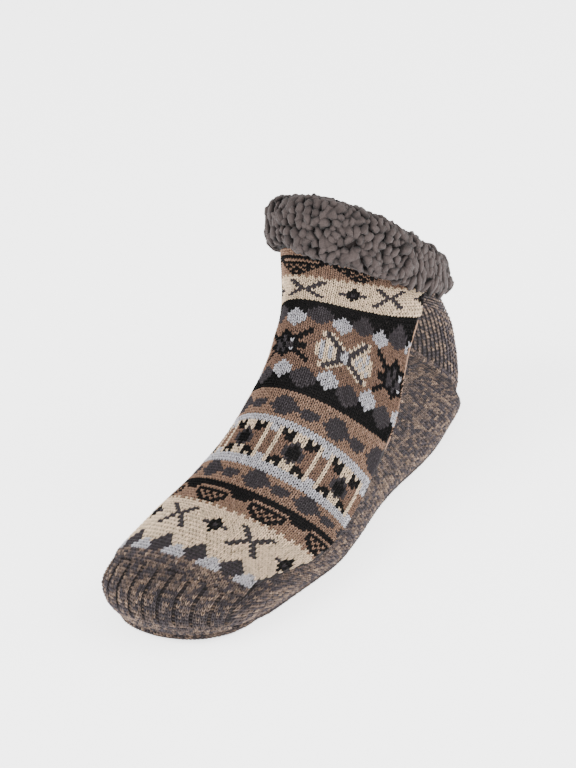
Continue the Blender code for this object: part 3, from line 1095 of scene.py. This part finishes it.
def closed_curve(values, steps):
    """A closed line of values with steps between each two, smooth through all of them."""
    before, end, after = (np.roll(values, -k, axis=0) for k in (-1, 1, 2))
    square = 2 * before - 5 * values + 4 * end - after
    cube = 3 * values - before - 3 * end + after
    made = [
        0.5 * (2 * values + (end - before) * t + square * t * t + cube * t**3)
        for t in np.arange(steps) / steps
    ]
    return np.stack(made, axis=1).reshape(-1, *values.shape[1:])


def surface_normals(rings):
    """Outward directions of a closed tube of rings."""
    around = np.roll(rings, -1, axis=1) - np.roll(rings, 1, axis=1)
    along = np.roll(rings, -1, axis=0) - np.roll(rings, 1, axis=0)
    return unit(np.cross(along, around))


def along_face(vectors, outwards):
    """The directions along a face that these vectors lean in."""
    return unit(vectors - outwards * (vectors * outwards).sum(1, keepdims=True))


def tube_faces(rings, columns):
    """The four-cornered faces of a tube that closes both ways."""
    ring, column = np.meshgrid(np.arange(rings), np.arange(columns), indexing="ij")
    after = (column + 1) % columns
    following = (ring + 1) % rings
    corners = [ring * columns + column, following * columns + column]
    corners += [following * columns + after, ring * columns + after]
    return np.stack(corners, -1).reshape(-1, 4)


def curl_shape(detail):
    """One curl of pile before it is bent: a ball of triangles."""
    deselect_all()
    bpy.ops.mesh.primitive_ico_sphere_add(subdivisions=detail, radius=1)
    return taken_apart(bpy.context.object)


def apart(places, distance):
    """Places picked in a random order that lie at least this far apart, by their numbers."""
    cells = {}
    taken = []
    for index in random.permutation(len(places)):
        place = places[index]
        key = tuple(np.floor(place / distance).astype(int))
        near = [
            cells.get((key[0] + x, key[1] + y, key[2] + z))
            for x in (-1, 0, 1) for y in (-1, 0, 1) for z in (-1, 0, 1)
        ]
        if all(other is None or np.linalg.norm(other - place) > distance for other in near):
            cells[key] = place
            taken.append(index)
    return np.array(taken)


def curls(name, centers, outwards, upwards, sizes, finish, detail=2, folds=0.0):
    """Lumps of curly pile on a surface, each of its own size, turn and shape, as one piece.

    Where folds is above 0, they stretch upwards into gathers.
    """
    ball, faces = curl_shape(detail)
    count, corners = len(centers), len(ball)
    folds = np.reshape(folds, (-1, 1))
    turn = random.uniform(-1.1, 1.1, count)[:, None] * (1 - 0.8 * folds)
    across = np.cross(outwards, upwards)
    along = upwards * np.cos(turn) + across * np.sin(turn)
    across = np.cross(outwards, along)
    spread = random.uniform((1.0, 0.85, 0.75), (1.6, 1.2, 1.0), (count, 3)) * sizes[:, None]
    spread *= 1 + folds * np.array([0.9, -0.15, 0])
    # each lump bows like a hook of yarn, and swells and narrows in its own way
    bow = random.uniform(-0.5, 0.5, (count, 1))
    waves = random.uniform(0, 6.28, (count, 3))
    swell = 0.2 * np.sin(3.1 * ball[:, 0] + waves[:, :1])
    swell = 1 + swell * np.cos(2.7 * ball[:, 1] + waves[:, 1:2])
    swell += 0.13 * np.sin(5.3 * (ball[:, 2] + ball[:, 0] - ball[:, 1]) + waves[:, 2:])
    lump = ball * swell[..., None]
    lump[..., 1] += bow * ball[:, 0] ** 2
    axes = np.stack([along, across, outwards], axis=1)
    points = centers[:, None] + (lump * spread[:, None]) @ axes
    # Painted shade: each curl darkens towards its lower side, where it meets the cloth
    shade = np.clip(1.15 * lump[..., 2] - 0.12 + random.normal(0, 0.12, (count, 1)), 0, 1)
    index = (faces + corners * np.arange(count)[:, None, None]).reshape(-1, 3)
    piece = mesh_piece(name, points.reshape(-1, 3), index, finish)
    add_attribute(piece, "curl", "FLOAT", "value", shade)
    return piece


def make_cuff(finish):
    """The turned-down cuff of curly pile: its cloth, and the curls that stand on it."""
    columns = np.arange(0, LAST_COLUMN, 0.25)
    rings = closed_curve(np.array([cuff_ring(point, columns) for point in CUFF_SECTION]), 4)
    weight = np.clip(closed_curve(np.array([point.curl for point in CUFF_SECTION]), 4), 0, 1)
    out = surface_normals(rings)
    flat, away = rings.reshape(-1, 3), out.reshape(-1, 3)
    heavy = np.repeat(weight, len(columns))
    cloth = flat - away * CLOTH_DEPTH * heavy[:, None]
    piece = mesh_piece("sherpa_cuff_cloth", cloth, tube_faces(len(rings), len(columns)), finish)
    # The cloth under the curls is darkened as painted shade
    add_attribute(piece, "curl", "FLOAT", "value", np.full(len(flat), 0.35))
    upwards = np.tile(foot.at(COLLAR, columns) - foot.at(CUFF_LINE, columns), (len(rings), 1))
    upwards = along_face(upwards, away)
    laid = np.flatnonzero(heavy > 0.25)
    taken = laid[apart(flat[laid], CURL_APART)]
    sizes = random.uniform(*CURL_SIZES, len(taken)) * (0.7 + 0.3 * heavy[taken])
    sink = random.uniform(*CURL_SINK, (len(taken), 1))
    centers = flat[taken] - away[taken] * sink
    column = np.tile(columns, len(rings))[taken]
    ring = np.repeat(np.arange(len(rings)), len(columns))[taken]
    folds = np.clip(1 - np.abs(column - GATHER_COLUMN) / GATHER_WIDTH, 0, 1)
    folds *= ring < GATHER_RINGS
    lumps = curls(
        "sherpa_cuff_curls", centers, away[taken], upwards[taken], sizes, finish,
        folds=np.clip(folds * 2, 0, 1),
    )
    return piece, lumps


def make_lining(finish):
    """Short curls of pile on the knit's inner face, where the collar lets it be seen."""
    places = random.uniform((LINING_START, 0), (COLLAR - 0.6, LAST_COLUMN), (LINING_TRIES, 2))
    row, column = places.T
    points = foot.at(row, column, -WALL)
    taken = apart(points, LINING_APART)
    points, row, column = points[taken], row[taken], column[taken]
    face = foot.at(row, column)
    inwards = (points - face) / WALL
    upwards = along_face(foot.at(row + 0.2, column) - face, inwards)
    sizes = random.uniform(*LINING_SIZES, len(taken))
    return curls("lining_curls", points, inwards, upwards, sizes, finish, detail=1)


def sole_grid(inset, reach, height):
    """Points in lines across the sole from the heel to the toe, and how near the edge they are."""
    hem = HemKnit()
    line = hem.line - hem.away * inset
    from_end = line[:, 1].max() - line[:, 1]
    line[:, 1] += reach * np.clip(1 - from_end / HEEL_STRETCH, 0, 1)
    shares = (0.5 - 0.5 * np.cos(np.linspace(0, np.pi, SOLE_ACROSS)))[None, :, None]
    half = len(line) // 2 - 1
    grid = line[:half, None] * (1 - shares) + line[::-1][:half, None] * shares
    width = np.linalg.norm(line[:half] - line[::-1][:half], axis=1)[:, None]
    edge = np.minimum(shares, 1 - shares)[:, :, 0] * width
    grid[..., 2] = np.vectorize(height)(grid[..., 1] - foot.moved[1])
    return grid, np.clip(1 - edge / EDGE_WIDTH, 0, 1) ** 2


def make_sole(felt):
    """The soft felt sole, whose lower edge is rounded."""
    grid, edge = sole_grid(SOLE_INSET, SOLE_REACH, lift)
    grid[..., 2] += SOLE_EDGE * edge
    return shell("sole_felt", grid, len(grid), SOLE, -1, (felt,))


def make_insole(cloth, pile):
    """The footbed: its cloth, and short curls of pile on it at the heel."""
    top = INSOLE - PILE_HEIGHT
    grid, edge = sole_grid(INSOLE_INSET, INSOLE_REACH, lambda y: seat(y) + top)
    grid[..., 2] -= INSOLE_EDGE * edge
    bed = shell("insole_cloth", grid[:, ::-1], len(grid), top - PILE_HEIGHT, -1, (cloth,))
    points = grid[:, 1:-1].reshape(-1, 3)
    points = points[points[:, 1] > INSOLE_SEEN]
    points[:, :2] += random.uniform(-0.0008, 0.0008, (len(points), 2))
    points = points[apart(points, LINING_APART)]
    upwards = np.tile((0.0, -1.0, 0.0), (len(points), 1))
    outwards = np.tile((0.0, 0.0, 1.0), (len(points), 1))
    sizes = random.uniform(*LINING_SIZES, len(points))
    return bed, curls("insole_curls", points, outwards, upwards, sizes, pile, detail=1)


def settle(piece, slot, *nodes):
    """Puts a finished piece on the sock's body, in place of the CAD nodes that are named."""
    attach(piece, "root")
    if nodes:
        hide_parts(*nodes)


def make_floor():
    """A plain pale floor, which glows a little so that it stays white."""
    deselect_all()
    bpy.ops.mesh.primitive_plane_add(size=8)
    floor = bpy.context.object
    floor.name = "floor"
    finish = Finish(
        "pale floor", Base_Color=WHITE, Roughness=0.9, Emission_Color=WHITE, Emission_Strength=2.4
    )
    floor.data.materials.append(finish.material)


def area_light(name, place, size, power):
    """A square light that shines at the sock's middle."""
    light = bpy.data.lights.new(name, "AREA")
    light.size = size
    light.energy = power
    obj = linked(name, light)
    obj.location = place
    direction = SOCK_MIDDLE - Vector(place)
    obj.rotation_euler = direction.to_track_quat("-Z", "Y").to_euler()


def make_studio():
    """Soft daylight from all round, with a large light from the upper left."""
    world = bpy.data.worlds.new("studio")
    world.use_nodes = True
    background = world.node_tree.nodes["Background"]
    background.inputs["Color"].default_value = WHITE
    background.inputs["Strength"].default_value = 1.25
    bpy.context.scene.world = world
    area_light("key", (-0.9, -1.2, 1.5), 1.2, 34)
    area_light("fill", (1.5, 0.3, 1.0), 1.5, 34)


def make_camera():
    """The camera, which sees the sock from where the photograph does."""
    camera = bpy.data.cameras.new("camera")
    camera.lens = LENS
    camera.sensor_width = 36
    camera.shift_x, camera.shift_y = SHIFT
    camera.dof.use_dof = False
    obj = linked("camera", camera)
    round_it, above, roll = np.radians((AZIMUTH, ELEVATION, ROLL))
    right = Vector((np.cos(round_it), np.sin(round_it), 0))
    level = Vector((np.sin(round_it), -np.cos(round_it), 0))
    back = level * np.cos(above) + Vector((0, 0, np.sin(above)))
    up = back.cross(right)
    across = right * np.cos(roll) + up * np.sin(roll)
    upright = up * np.cos(roll) - right * np.sin(roll)
    turned = Matrix((across, upright, back)).transposed().to_4x4()
    obj.matrix_world = Matrix.Translation(AIM + back * DISTANCE) @ turned
    bpy.context.scene.camera = obj


def main():
    deselect_all()
    marl = yarn_finish("marl yarn", 0.04)
    fancy = yarn_finish("panel yarns", 0.03)
    ground = ground_finish()
    pile = pile_finish("cuff pile", PILE, PILE_PAINTED_SHADE)
    lining = pile_finish("lining pile", PILE, PILE_PAINTED_SHADE)
    # The lining cloth, on the knit's inner face and the footbed, is coloured the pile's painted
    # shade
    cloth = plain_finish("lining cloth painted shade", PILE_PAINTED_SHADE, 0.0012, 0.0005)
    tan = plain_finish("tan rolled yarn", YARNS["t"], 0.0012, 0.0004)
    dark = plain_finish("dark seam yarn", SEAM, 0.0015, 0.0004)
    felt = plain_finish("sole felt", FELT, 0.0012, 0.0005)
    body, panel = make_grounds(ground, cloth)
    settle(body, "marl_knit", "upper")
    settle(panel, "patterned_knit", "instep_panel")
    for piece in make_panel(fancy):
        settle(piece, "patterned_knit", "instep_panel")
    sides = make_side(False, marl) + make_side(True, marl)
    for piece in (*sides, make_hem(marl), *make_ribs(marl)):
        settle(piece, "marl_knit", "upper")
    for piece in make_seams(tan, dark):
        settle(piece, "patterned_knit")
    for piece in make_cuff(pile):
        settle(piece, "cuff_pile", "sherpa_cuff")
    settle(make_lining(lining), "lining_pile", "upper")
    settle(make_sole(felt), "sole_felt", "sole")
    for piece in make_insole(cloth, lining):
        settle(piece, "lining_pile", "insole")
    make_floor()
    make_studio()
    make_camera()


main()
